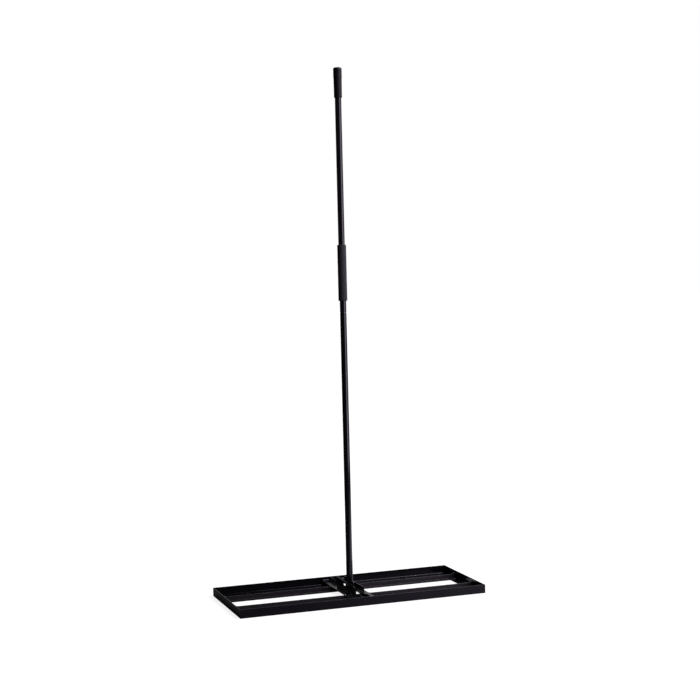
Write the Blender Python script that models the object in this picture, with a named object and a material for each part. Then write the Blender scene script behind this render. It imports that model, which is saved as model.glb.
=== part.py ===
"""Lawn leveling rake: a welded angle steel head with a tilting screw-together pole.

Units are metres and +Z is up. The origin is the middle of the ground rectangle under the head,
+X runs along the head and -Y is the side that the work is drawn towards.
"""
import math

import bmesh
import bpy
from mathutils import Matrix, Vector

# Head frame
HEAD_LENGTH = 1.000
HEAD_DEPTH = 0.412
FRAME_LEG = 0.034
FRAME_WALL = 0.003
FRAME_ROOT_RADIUS = 0.003
FRAME_TOE_RADIUS = 0.0012

# Leveling bars inside the frame
BAR_LEG = 0.020
BAR_FOOT = 0.024
BAR_WALL = 0.003
BAR_ROOT_RADIUS = 0.0025
BAR_TOE_RADIUS = 0.0010
BAR_PITCH = 0.175

# Bracket angles that carry the pole
BRACKET_LEG = 0.035
BRACKET_WALL = 0.003
BRACKET_EAR_FRONT = 0.119
BRACKET_EAR_REAR = 0.110
BRACKET_RELIEF = 0.0075
BRACKET_RELIEF_FLAT = 0.010
BRACKET_RAMP_FRONT = 0.039
BRACKET_RAMP_REAR = 0.027
BRACKET_SHIFT = 0.006

# Pivot of the pole
PIVOT_ABOVE_SEAT = 0.0225
BOLT_DIAMETER = 0.008
BOLT_FLATS = 0.013
BOLT_HEAD_HEIGHT = 0.0053
BOLT_TAIL = 0.0025
NUT_HEIGHT = 0.0080
NUT_COLLAR_HEIGHT = 0.0020
NUT_COLLAR_DIAMETER = 0.0108
WASHER_DIAMETER = 0.016
WASHER_THICKNESS = 0.0016
SPACER_DIAMETER = 0.022
SPACER_THICKNESS = 0.0014
SLEEVE_DIAMETER = 0.012

# Pole
STUB_DIAMETER = 0.0262
STUB_WALL = 0.0020
STUB_BELOW_PIVOT = 0.015
STUB_ABOVE_PIVOT = 0.0970
TUBE_DIAMETER = 0.0254
TUBE_WALL = 0.0012
LOWER_TUBE_LENGTH = 0.982
UPPER_TUBE_LENGTH = 0.946
TUBE_END_RADIUS = 0.0006

# Screwed joints between the pole's sections
JOINT_GROOVE = 0.0014
STUD_COLLAR_INSET = 0.0014
STUD_DIAMETER = 0.016
STUD_REACH = 0.028
STUD_CHAMFER = 0.0015
PLUG_LENGTH = 0.030
SOCKET_LENGTH = 0.034

# Grips
FOAM_DIAMETER = 0.035
FOAM_LENGTH = 0.219
FOAM_ABOVE_JOINT = 0.0445
FOAM_EDGE_RADIUS = 0.0020
GRIP_LENGTH = 0.117
GRIP_END_WALL = 0.0045
GRIP_HEAD_DIAMETER = 0.0335
GRIP_HEAD_LENGTH = 0.039
GRIP_NECK_DIAMETER = 0.0322
GRIP_MOUTH_DIAMETER = 0.0312
GRIP_STEP_LENGTH = 0.004
GRIP_EDGE_RADIUS = 0.0030
GRIP_DOME = 0.0010

# Clearances
SEAM = 0.0003
BOLT_CLEARANCE = 0.0003

# Facets of the round pieces
TUBE_SIDES = 32
SMALL_SIDES = 24
ARC_STEPS = 3
CUT_MARGIN = 0.010

# Places that follow from the sizes
BRACKET_SEAT = BAR_LEG - BRACKET_WALL
PIVOT_HEIGHT = BRACKET_SEAT + PIVOT_ABOVE_SEAT
BRACKET_HALF_GAP = STUB_DIAMETER / 2 + SPACER_THICKNESS + 2 * SEAM
STUB_TOP = STUB_ABOVE_PIVOT
LOWER_TUBE_FOOT = STUB_TOP + JOINT_GROOVE
LOWER_TUBE_TOP = LOWER_TUBE_FOOT + LOWER_TUBE_LENGTH
UPPER_TUBE_FOOT = LOWER_TUBE_TOP + JOINT_GROOVE
UPPER_TUBE_TOP = UPPER_TUBE_FOOT + UPPER_TUBE_LENGTH
FOAM_FOOT = UPPER_TUBE_FOOT + FOAM_ABOVE_JOINT
GRIP_TOP = UPPER_TUBE_TOP + SEAM + GRIP_END_WALL
GRIP_FOOT = GRIP_TOP - GRIP_LENGTH

# Finishes: colour, roughness, metallic
POWDER_COAT = ((0.012, 0.012, 0.014), 0.38, 0.0)
ZINC_STEEL = ((0.62, 0.63, 0.65), 0.32, 1.0)
FOAM_RUBBER = ((0.030, 0.027, 0.031), 0.90, 0.0)
GRIP_RUBBER = ((0.022, 0.020, 0.022), 0.70, 0.0)


def clear_scene():
    """Removes whatever the open file holds, so that the script starts from nothing."""
    for old in list(bpy.data.objects):
        bpy.data.objects.remove(old, do_unlink=True)


def make_material(name, finish):
    """Gives a piece its own Principled material."""
    colour, roughness, metallic = finish
    material = bpy.data.materials.new(name)
    material.use_nodes = True
    shader = material.node_tree.nodes["Principled BSDF"]
    shader.inputs["Base Color"].default_value = (*colour, 1.0)
    shader.inputs["Roughness"].default_value = roughness
    shader.inputs["Metallic"].default_value = metallic
    return material


def make_empty(name, location):
    """Makes a parent that marks a body's reference point."""
    empty = bpy.data.objects.new(name, None)
    empty.location = location
    bpy.context.collection.objects.link(empty)
    return empty


def add_object(name, bm, finish=None):
    """Turns a bmesh into a named object, with flat faces sharp and round ones smooth."""
    bmesh.ops.remove_doubles(bm, verts=bm.verts, dist=1e-6)
    bmesh.ops.recalc_face_normals(bm, faces=bm.faces)
    mesh = bpy.data.meshes.new(name)
    bm.to_mesh(mesh)
    bm.free()
    mesh.shade_smooth()
    mesh.set_sharp_from_angle(angle=math.radians(35))
    piece = bpy.data.objects.new(name, mesh)
    bpy.context.collection.objects.link(piece)
    if finish is not None:
        mesh.materials.append(make_material(name + "_finish", finish))
    return piece


def place(piece, parent, location=(0, 0, 0), turn=0.0):
    """Seats a piece under its parent, turned about +Z."""
    piece.parent = parent
    piece.location = location
    piece.rotation_euler = (0, 0, turn)
    return piece


def add_boolean(piece, other, operation):
    """Cuts or joins another solid, which is left out of the part."""
    modifier = piece.modifiers.new(other.name, "BOOLEAN")
    modifier.object = other
    modifier.operation = operation
    modifier.solver = "EXACT"
    other.hide_render = True
    other.display_type = "WIRE"


def arc(centre, radius, start, end):
    """Points of an arc in a flat outline, from one angle in degrees to another."""
    points = []
    for step in range(ARC_STEPS + 1):
        angle = math.radians(start + (end - start) * step / ARC_STEPS)
        points.append((centre[0] + radius * math.cos(angle), centre[1] + radius * math.sin(angle)))
    return points


def angle_outline(foot, leg, wall, root_radius, toe_radius):
    """Section of a rolled angle: its foot lies along the first axis and its leg stands up."""
    outline = [(0.0, 0.0), (foot, 0.0)]
    outline += arc((foot - toe_radius, wall - toe_radius), toe_radius, 0, 90)
    outline += arc((wall + root_radius, wall + root_radius), root_radius, 270, 180)
    outline += arc((wall - toe_radius, leg - toe_radius), toe_radius, 0, 90)
    outline.append((0.0, leg))
    return outline


def extruded_angle(name, outline, half_length, mitre, finish):
    """Length of angle along X whose legs point to +Y and +Z; a mitre slopes its ends by 45 degrees."""
    bm = bmesh.new()
    start = [bm.verts.new((-half_length, depth, height)) for depth, height in outline]
    face = bm.faces.new(start)
    grown = bmesh.ops.extrude_face_region(bm, geom=[face], use_keep_orig=True)
    ends = [item for item in grown["geom"] if isinstance(item, bmesh.types.BMVert)]
    bmesh.ops.translate(bm, verts=ends, vec=(2 * half_length, 0, 0))
    if mitre:
        for vert in bm.verts:
            vert.co.x -= math.copysign(vert.co.y, vert.co.x)
    return add_object(name, bm, finish)


def box(name, low, high):
    """Plain block between two corners."""
    bm = bmesh.new()
    size = Vector(high) - Vector(low)
    centre = (Vector(high) + Vector(low)) / 2
    matrix = Matrix.Translation(centre) @ Matrix.Diagonal((*size, 1.0))
    bmesh.ops.create_cube(bm, size=1.0, matrix=matrix)
    return add_object(name, bm)


def turned(name, outline, sides, finish, closed=True):
    """Revolves an outline of radius and height about Z; an open outline starts and ends on the axis."""
    bm = bmesh.new()
    verts = [bm.verts.new((radius, 0, height)) for radius, height in outline]
    edges = [bm.edges.new(pair) for pair in zip(verts, verts[1:])]
    if closed:
        edges.append(bm.edges.new((verts[-1], verts[0])))
    bmesh.ops.spin(bm, geom=verts + edges, axis=(0, 0, 1), cent=(0, 0, 0), angle=2 * math.pi,
                   steps=sides, use_merge=True)
    return add_object(name, bm, finish)


def lay_along_x(piece):
    """Turns a piece made about Z so that its axis runs along X, its top to +X."""
    piece.data.transform(Matrix.Rotation(math.radians(90), 4, "Y"))
    return piece


def ring_outline(inner, outer, foot, top, edge=0.0):
    """Section of a ring whose outer edges are rounded."""
    if edge <= 0.0:
        return [(inner, foot), (outer, foot), (outer, top), (inner, top)]
    outline = [(inner, foot)]
    outline += arc((outer - edge, foot + edge), edge, 270, 360)
    outline += arc((outer - edge, top - edge), edge, 0, 90)
    outline.append((inner, top))
    return outline


def rod(name, radius, low, high, sides, finish=None):
    """Plain round bar along X."""
    outline = [(0.0, low), (radius, low), (radius, high), (0.0, high)]
    return lay_along_x(turned(name, outline, sides, finish, closed=False))


def hexagon(name, flats, low, high, finish):
    """Hexagonal bar along X with two of its flats facing up and down."""
    bm = bmesh.new()
    radius = flats / 2 / math.cos(math.radians(30))
    matrix = Matrix.Translation((0, 0, (low + high) / 2))
    bmesh.ops.create_cone(bm, cap_ends=True, segments=6, radius1=radius, radius2=radius,
                          depth=high - low, matrix=matrix)
    return lay_along_x(add_object(name, bm, finish))


def build_frame(head):
    """Four mitred angles that make the rectangle round the head."""
    outline = angle_outline(FRAME_LEG, FRAME_LEG, FRAME_WALL, FRAME_ROOT_RADIUS, FRAME_TOE_RADIUS)
    long_half = HEAD_LENGTH / 2 - SEAM / 2
    short_half = HEAD_DEPTH / 2 - SEAM / 2
    sides = {
        "front_frame_angle": (long_half, (0, -HEAD_DEPTH / 2, 0), 0),
        "rear_frame_angle": (long_half, (0, HEAD_DEPTH / 2, 0), 180),
        "left_frame_angle": (short_half, (-HEAD_LENGTH / 2, 0, 0), -90),
        "right_frame_angle": (short_half, (HEAD_LENGTH / 2, 0, 0), 90),
    }
    for name, (half_length, location, turn) in sides.items():
        piece = extruded_angle(name, outline, half_length, True, POWDER_COAT)
        place(piece, head, location, math.radians(turn))


def cope_outline():
    """Section of a side angle of the frame, grown by the seam that its neighbours leave to it."""
    wall = FRAME_WALL + SEAM
    root = FRAME_ROOT_RADIUS - SEAM
    outline = [(-CUT_MARGIN, -CUT_MARGIN), (FRAME_LEG + SEAM, -CUT_MARGIN), (FRAME_LEG + SEAM, wall)]
    outline += arc((wall + root, wall + root), root, 270, 180)
    outline += [(wall, FRAME_LEG), (-CUT_MARGIN, FRAME_LEG)]
    return outline


def build_leveling_bars(head, bracket):
    """Two angles along the head, coped over the side angles' feet and notched for the bracket."""
    outline = angle_outline(BAR_FOOT, BAR_LEG, BAR_WALL, BAR_ROOT_RADIUS, BAR_TOE_RADIUS)
    half_length = HEAD_LENGTH / 2 - FRAME_WALL / 2
    cutters = []
    for side in (-1, 1):
        cope = extruded_angle(f"cope_cutter_{side}", cope_outline(), HEAD_DEPTH / 2, False, None)
        cutters.append(place(cope, head, (side * HEAD_LENGTH / 2, 0, 0), math.radians(90 * side)))
        faces = sorted((side * (BRACKET_HALF_GAP - SEAM), side * (BRACKET_HALF_GAP + BRACKET_LEG + SEAM)))
        low = (faces[0], -HEAD_DEPTH / 2, BRACKET_SEAT - SEAM)
        high = (faces[1], HEAD_DEPTH / 2, BAR_LEG + CUT_MARGIN)
        cutters.append(place(box(f"notch_cutter_{side}", low, high), bracket))
    for name, side in (("front_leveling_bar", -1), ("rear_leveling_bar", 1)):
        piece = extruded_angle(name, outline, half_length, False, POWDER_COAT)
        place(piece, head, (0, side * BAR_PITCH / 2 + BAR_WALL, 0), math.radians(180))
        for cutter in cutters:
            add_boolean(piece, cutter, "DIFFERENCE")


def ear_cutter(name, ear, ramp, reach):
    """Trims a leg beyond its ear: a relief beside the ear, a ramp, then level with the frame's top."""
    relief = BRACKET_SEAT + BRACKET_WALL + BRACKET_RELIEF
    outline = [(ear, relief), (ear + BRACKET_RELIEF_FLAT, relief), (ear + ramp, FRAME_LEG)]
    outline += [(HEAD_DEPTH / 2, FRAME_LEG), (HEAD_DEPTH / 2, BRACKET_SEAT + BRACKET_LEG + CUT_MARGIN)]
    outline.append((ear, BRACKET_SEAT + BRACKET_LEG + CUT_MARGIN))
    return extruded_angle(name, outline, reach, False, None)


def build_bracket(bracket):
    """Two angles across the head whose upright legs are trimmed down to the ears of the pivot."""
    outline = angle_outline(BRACKET_LEG, BRACKET_LEG, BRACKET_WALL, FRAME_ROOT_RADIUS, FRAME_TOE_RADIUS)
    half_length = HEAD_DEPTH / 2 - FRAME_WALL - SEAM
    reach = BRACKET_HALF_GAP + BRACKET_LEG + CUT_MARGIN
    hole = rod("pivot_hole_cutter", BOLT_DIAMETER / 2 + BOLT_CLEARANCE, -reach, reach, SMALL_SIDES)
    cutters = [place(hole, bracket, (0, 0, PIVOT_HEIGHT))]
    front = ear_cutter("front_ear_cutter", BRACKET_EAR_FRONT, BRACKET_RAMP_FRONT, reach)
    rear = ear_cutter("rear_ear_cutter", BRACKET_EAR_REAR, BRACKET_RAMP_REAR, reach)
    cutters += [place(front, bracket, (0, 0, 0), math.radians(180)), place(rear, bracket)]
    for name, side in (("left_bracket_angle", -1), ("right_bracket_angle", 1)):
        piece = extruded_angle(name, outline, half_length, False, POWDER_COAT)
        place(piece, bracket, (side * BRACKET_HALF_GAP, 0, BRACKET_SEAT), math.radians(-90 * side))
        for cutter in cutters:
            add_boolean(piece, cutter, "DIFFERENCE")


def build_pivot_hardware(bracket):
    """Bolt, locking nut, washers and spacers, all on the pivot's axis and held by the bracket."""
    pivot = (0, 0, PIVOT_HEIGHT)
    ear_face = BRACKET_HALF_GAP + BRACKET_WALL
    washer_out = ear_face + SEAM + WASHER_THICKNESS
    nut_out = washer_out + SEAM + NUT_HEIGHT
    bolt_radius = BOLT_DIAMETER / 2
    bore = bolt_radius + BOLT_CLEARANCE
    head_in = -(washer_out + SEAM)
    bolt = rod("pivot_bolt", bolt_radius, head_in - BOLT_HEAD_HEIGHT / 2, nut_out + BOLT_TAIL,
               SMALL_SIDES, ZINC_STEEL)
    bolt_head = hexagon("bolt_head_form", BOLT_FLATS, head_in - BOLT_HEAD_HEIGHT, head_in, None)
    add_boolean(place(bolt, bracket, pivot), place(bolt_head, bracket, pivot), "UNION")
    nut = hexagon("pivot_lock_nut", BOLT_FLATS, washer_out + SEAM, nut_out - NUT_COLLAR_HEIGHT, ZINC_STEEL)
    collar = rod("nut_collar_form", NUT_COLLAR_DIAMETER / 2, washer_out + NUT_HEIGHT / 2, nut_out, SMALL_SIDES)
    nut_bore = rod("nut_bore_cutter", bore, 0.0, nut_out + CUT_MARGIN, SMALL_SIDES)
    place(nut, bracket, pivot)
    add_boolean(nut, place(collar, bracket, pivot), "UNION")
    add_boolean(nut, place(nut_bore, bracket, pivot), "DIFFERENCE")
    for name, side in (("left", -1), ("right", 1)):
        faces = sorted((side * (ear_face + SEAM), side * washer_out))
        washer = turned(f"{name}_bolt_washer", ring_outline(bore, WASHER_DIAMETER / 2, *faces),
                        SMALL_SIDES, ZINC_STEEL)
        place(lay_along_x(washer), bracket, pivot)
        faces = sorted((side * (BRACKET_HALF_GAP - SEAM), side * (STUB_DIAMETER / 2 + SEAM)))
        spacer_bore = SLEEVE_DIAMETER / 2 + SEAM
        spacer = turned(f"{name}_pivot_spacer", ring_outline(spacer_bore, SPACER_DIAMETER / 2, *faces),
                        SMALL_SIDES, ZINC_STEEL)
        place(lay_along_x(spacer), bracket, pivot)


def build_stub(pole):
    """Foot of the pole: a short tube drilled across for the sleeve that turns on the bolt."""
    outline = ring_outline(STUB_DIAMETER / 2 - STUB_WALL, STUB_DIAMETER / 2, -STUB_BELOW_PIVOT, STUB_TOP,
                           TUBE_END_RADIUS)
    stub = place(turned("pole_stub", outline, TUBE_SIDES, POWDER_COAT), pole)
    reach = STUB_DIAMETER / 2 + CUT_MARGIN
    cutter = rod("sleeve_hole_cutter", SLEEVE_DIAMETER / 2 + SEAM, -reach, reach, SMALL_SIDES)
    add_boolean(stub, place(cutter, pole), "DIFFERENCE")
    half_length = BRACKET_HALF_GAP - SEAM
    outline = ring_outline(BOLT_DIAMETER / 2 + BOLT_CLEARANCE, SLEEVE_DIAMETER / 2, -half_length, half_length)
    sleeve = turned("pivot_sleeve", outline, SMALL_SIDES, ZINC_STEEL)
    place(lay_along_x(sleeve), pole)


def build_tubes(pole):
    """The two long sections of the pole."""
    spans = {
        "lower_tube": (LOWER_TUBE_FOOT, LOWER_TUBE_TOP),
        "upper_tube": (UPPER_TUBE_FOOT, UPPER_TUBE_TOP),
    }
    for name, (foot, top) in spans.items():
        outline = ring_outline(TUBE_DIAMETER / 2 - TUBE_WALL, TUBE_DIAMETER / 2, foot, top, TUBE_END_RADIUS)
        place(turned(name, outline, TUBE_SIDES, POWDER_COAT), pole)


def build_joint(pole, name, socket_top, socket_bore):
    """Screwed joint: a stud plugged into the section above enters a socket in the section below."""
    stud = STUD_DIAMETER / 2
    socket_outer = socket_bore - SEAM
    outline = ring_outline(stud + SEAM, socket_outer, socket_top - SOCKET_LENGTH, socket_top)
    place(turned(f"{name}_joint_socket", outline, SMALL_SIDES, ZINC_STEEL), pole)
    collar = TUBE_DIAMETER / 2 - STUD_COLLAR_INSET
    plug = TUBE_DIAMETER / 2 - TUBE_WALL - SEAM
    collar_foot = socket_top + SEAM
    collar_top = socket_top + JOINT_GROOVE - SEAM
    tip = socket_top - STUD_REACH
    outline = [(0.0, tip), (stud - STUD_CHAMFER, tip), (stud, tip + STUD_CHAMFER), (stud, collar_foot),
               (collar, collar_foot), (collar, collar_top), (plug, collar_top),
               (plug, collar_top + PLUG_LENGTH), (0.0, collar_top + PLUG_LENGTH)]
    place(turned(f"{name}_joint_stud", outline, SMALL_SIDES, ZINC_STEEL, closed=False), pole)


def build_foam(pole):
    """Foam sleeve for the lower hand."""
    outline = ring_outline(TUBE_DIAMETER / 2 + SEAM, FOAM_DIAMETER / 2, FOAM_FOOT, FOAM_FOOT + FOAM_LENGTH,
                           FOAM_EDGE_RADIUS)
    place(turned("foam_grip", outline, TUBE_SIDES, FOAM_RUBBER), pole)


def build_end_grip(pole):
    """Moulded rubber cap over the pole's top, thicker in its upper third."""
    bore = TUBE_DIAMETER / 2 + SEAM
    head_radius = GRIP_HEAD_DIAMETER / 2
    neck_top = GRIP_TOP - GRIP_HEAD_LENGTH
    crown = GRIP_TOP - GRIP_DOME
    outline = [(0.0, UPPER_TUBE_TOP + SEAM), (bore, UPPER_TUBE_TOP + SEAM), (bore, GRIP_FOOT)]
    outline.append((GRIP_MOUTH_DIAMETER / 2 - TUBE_END_RADIUS, GRIP_FOOT))
    outline.append((GRIP_MOUTH_DIAMETER / 2, GRIP_FOOT + TUBE_END_RADIUS))
    outline.append((GRIP_NECK_DIAMETER / 2, neck_top - GRIP_STEP_LENGTH))
    outline.append((head_radius, neck_top))
    outline += arc((head_radius - GRIP_EDGE_RADIUS, crown - GRIP_EDGE_RADIUS), GRIP_EDGE_RADIUS, 0, 90)
    outline.append((0.0, GRIP_TOP))
    place(turned("end_grip", outline, TUBE_SIDES, GRIP_RUBBER, closed=False), pole)


def main():
    """Builds the head, then the pole about its pivot."""
    clear_scene()
    head = make_empty("head", (0, 0, 0))
    bracket = make_empty("bracket", (BRACKET_SHIFT, 0, 0))
    pole = make_empty("pole", (BRACKET_SHIFT, 0, PIVOT_HEIGHT))
    build_frame(head)
    build_leveling_bars(head, bracket)
    build_bracket(bracket)
    build_pivot_hardware(bracket)
    build_stub(pole)
    build_joint(pole, "lower", STUB_TOP, STUB_DIAMETER / 2 - STUB_WALL)
    build_joint(pole, "upper", LOWER_TUBE_TOP, TUBE_DIAMETER / 2 - TUBE_WALL)
    build_tubes(pole)
    build_foam(pole)
    build_end_grip(pole)


main()
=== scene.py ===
"""Dresses the lawn leveling rake: angles, weld beads, pivot hardware, pole, grips and finishes."""
from __future__ import annotations

import logging
import math
from dataclasses import dataclass, field
from enum import Enum

import bmesh
import bpy
from mathutils import Matrix, Vector

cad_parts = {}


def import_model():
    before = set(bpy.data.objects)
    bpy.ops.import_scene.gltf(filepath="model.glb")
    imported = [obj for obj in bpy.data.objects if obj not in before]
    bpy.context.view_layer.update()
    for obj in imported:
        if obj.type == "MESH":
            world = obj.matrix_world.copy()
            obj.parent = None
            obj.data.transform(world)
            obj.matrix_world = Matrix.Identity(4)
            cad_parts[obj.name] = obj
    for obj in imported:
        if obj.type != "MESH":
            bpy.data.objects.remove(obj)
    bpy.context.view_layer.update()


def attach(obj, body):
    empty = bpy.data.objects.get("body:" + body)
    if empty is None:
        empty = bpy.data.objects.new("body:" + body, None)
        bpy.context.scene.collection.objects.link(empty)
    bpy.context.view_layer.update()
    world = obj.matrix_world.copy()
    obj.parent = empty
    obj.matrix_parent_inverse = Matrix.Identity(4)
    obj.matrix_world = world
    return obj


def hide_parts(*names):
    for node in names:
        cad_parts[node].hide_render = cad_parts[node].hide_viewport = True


LOG = logging.getLogger("leveling_rake")
PICTURE_SIDE = 700.0
SENSOR_WIDTH = 36.0
CAMERA_HEADING = 0.33548
PATTERN_ENDS = (0.25, 0.75)
SHARP_ANGLE, SOFT_ANGLE = 32.0, 40.0
VIOLET = (0.88, 0.78, 1.0)
MERGE_DISTANCE = 1e-6
LARGE_ROUND, SMALL_ROUND, HOLE_ROUND = 96, 64, 48
BEYOND = 1.0
RAMP_INPUTS = ("Value", "From Min", "From Max", "To Min", "To Max")

Colour = tuple[float, float, float]
Point = tuple[float, float, float]
Span = tuple[float, float]
Outline = list[Span]
Path = tuple[Span, ...]
Corners = tuple[float, float, float, float]
Lines = list[list[Point]]
Material = bpy.types.Material
Piece = bpy.types.Object
Socket = bpy.types.NodeSocket
Bump = tuple[Socket, float, float]


class Body(Enum):
    """The rigid bodies that pieces ride on."""

    HEAD = "head"
    POLE = "pole"


class Slot(Enum):
    """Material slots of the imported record."""

    HEAD_COAT = "head_coat"
    POLE_COAT = "pole_coat"
    ZINC = "zinc"
    FOAM = "foam"
    GRIP_RUBBER = "grip_rubber"


# Node trees.


class Nodes:
    """A node tree, with short ways to add nodes and feed them."""

    def __init__(self, tree: bpy.types.NodeTree) -> None:
        """Takes over a tree."""
        self.tree = tree

    def fill(self, socket: Socket, value: object) -> None:
        """Feeds an input.

        Args:
            socket: The input.
            value: Socket, node whose first output is meant, or constant.
        """
        if isinstance(value, bpy.types.Node):
            value = value.outputs[0]
        if isinstance(value, bpy.types.NodeSocket):
            self.tree.links.new(value, socket)
        else:
            socket.default_value = value

    def node(
        self, kind: str, values: dict[str | int, object] | None = None, **settings: object
    ) -> bpy.types.Node:
        """Adds a node.

        Args:
            kind: The node's type.
            values: What feeds its inputs, by their name or number.
            settings: The node's own properties.

        Returns:
            The new node.
        """
        node = self.tree.nodes.new(kind)
        for key, value in settings.items():
            setattr(node, key, value)
        for key, value in (values or {}).items():
            self.fill(node.inputs[key], value)
        return node

    def maths(self, operation: str, first: object, second: object = 0.0) -> Socket:
        """Adds a Math node and gives its result."""
        values = {0: first, 1: second}
        return self.node("ShaderNodeMath", values, operation=operation).outputs[0]

    def mix(self, share: Socket, first: object, second: object) -> Socket:
        """Adds a mix of two numbers and gives its result."""
        values = {"Factor": share, "A": first, "B": second}
        return self.node("ShaderNodeMix", values).outputs["Result"]

    def ramp(
        self, source: Socket, ends: Span, low: float, high: float, kind: str = "LINEAR"
    ) -> Socket:
        """Maps the values between two ends to a low and a high result."""
        values = dict(zip(RAMP_INPUTS, (source, *ends, low, high)))
        return self.node("ShaderNodeMapRange", values, interpolation_type=kind).outputs["Result"]


class Shader(Nodes):
    """A node material with one Principled shader, and the patterns that the finishes share."""

    def __init__(self, name: str) -> None:
        """Makes the empty material.

        Args:
            name: The material's name.
        """
        self.material = bpy.data.materials.new(name)
        self.material.use_nodes = True
        super().__init__(self.material.node_tree)
        self.surface = self.tree.nodes["Principled BSDF"].inputs
        self.place = self.node("ShaderNodeTexCoord").outputs["Object"]

    def noise(self, scale: float, detail: float) -> Socket:
        """Noise about 0.5, by its cells per metre and octaves of finer noise."""
        values = {"Scale": scale, "Detail": detail, "Vector": self.place}
        return self.node("ShaderNodeTexNoise", values).outputs["Fac"]

    def cells(self, scale: float) -> Socket:
        """Distance to the middle of the nearest cell, by the cells per metre."""
        values = {"Scale": scale, "Vector": self.place}
        return self.node("ShaderNodeTexVoronoi", values).outputs["Distance"]

    def shade(self, pattern: Socket, dark: Colour, light: Colour, roughness: Span) -> None:
        """Colours and roughens the surface by a pattern about 0.5.

        Args:
            pattern: The pattern.
            dark: Colour at its low values.
            light: Colour at its high values.
            roughness: Roughness at both.
        """
        share = self.ramp(pattern, PATTERN_ENDS, 0.0, 1.0)
        shades = {"Factor": share, "A": (*dark, 1.0), "B": (*light, 1.0)}
        colour = self.node("ShaderNodeMix", shades, data_type="RGBA").outputs["Result"]
        self.fill(self.surface["Base Color"], colour)
        self.fill(self.surface["Roughness"], self.ramp(pattern, PATTERN_ENDS, *roughness))

    def relief(self, *layers: Bump) -> None:
        """Stacks bumps on the surface.

        Args:
            layers: Pattern, strength and height in metres of each bump, the coarsest first.
        """
        below: dict[str, Socket] = {}
        for pattern, strength, height in layers:
            values = {"Height": pattern, "Strength": strength, "Distance": height, **below}
            below = {"Normal": self.node("ShaderNodeBump", values).outputs["Normal"]}
        self.fill(self.surface["Normal"], below["Normal"])


class GeometryTree(Nodes):
    """A Geometry Nodes tree whose sizes are named inputs."""

    def __init__(self, name: str) -> None:
        """Makes the tree with a geometry input and output.

        Args:
            name: The tree's name.
        """
        super().__init__(bpy.data.node_groups.new(name, "GeometryNodeTree"))
        kind = "NodeSocketGeometry"
        for way in ("INPUT", "OUTPUT"):
            self.tree.interface.new_socket("Geometry", in_out=way, socket_type=kind)
        self.identifiers: dict[str, str] = {}
        self.start = self.node("NodeGroupInput")
        self.end = self.node("NodeGroupOutput")

    def number(self, name: str, kind: str = "NodeSocketFloat") -> Socket:
        """Adds a named input.

        Args:
            name: What the input measures.
            kind: Type of the socket.

        Returns:
            The input's socket inside the tree.
        """
        made = self.tree.interface.new_socket(name, in_out="INPUT", socket_type=kind)
        self.identifiers[name] = made.identifier
        return self.start.outputs[name]

    def choice(self, index: bpy.types.Node, values: list[object]) -> Socket:
        """Picks a value by a point's number.

        Args:
            index: Number of the point.
            values: Socket or constant for each point.

        Returns:
            The picked value.
        """
        node = self.node("GeometryNodeIndexSwitch", data_type="FLOAT")
        while len(node.index_switch_items) < len(values):
            node.index_switch_items.new()
        for number, value in enumerate((index, *values)):
            self.fill(node.inputs[number], value)
        return node.outputs[0]

    def finish(self, shape: bpy.types.Node) -> None:
        """Ends the tree in Realize Instances and Set Material.

        Args:
            shape: The finished geometry.
        """
        material = self.number("Material", "NodeSocketMaterial")
        real = self.node("GeometryNodeRealizeInstances", {0: shape})
        coated = self.node("GeometryNodeSetMaterial", {0: real, "Material": material})
        self.fill(self.end.inputs[0], coated)

    def grow(self, piece: Piece, material: Material, **sizes: float) -> Piece:
        """Runs the tree on an object and keeps the result as a plain mesh.

        Args:
            piece: Object whose mesh the tree starts from.
            material: Finish of the result.
            sizes: Value of each named input.

        Returns:
            The same object with the grown mesh.
        """
        modifier = piece.modifiers.new("grow", "NODES")
        modifier.node_group = self.tree
        for name, value in {"Material": material, **sizes}.items():
            modifier[self.identifiers[name]] = value
        return baked(piece)


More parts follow.
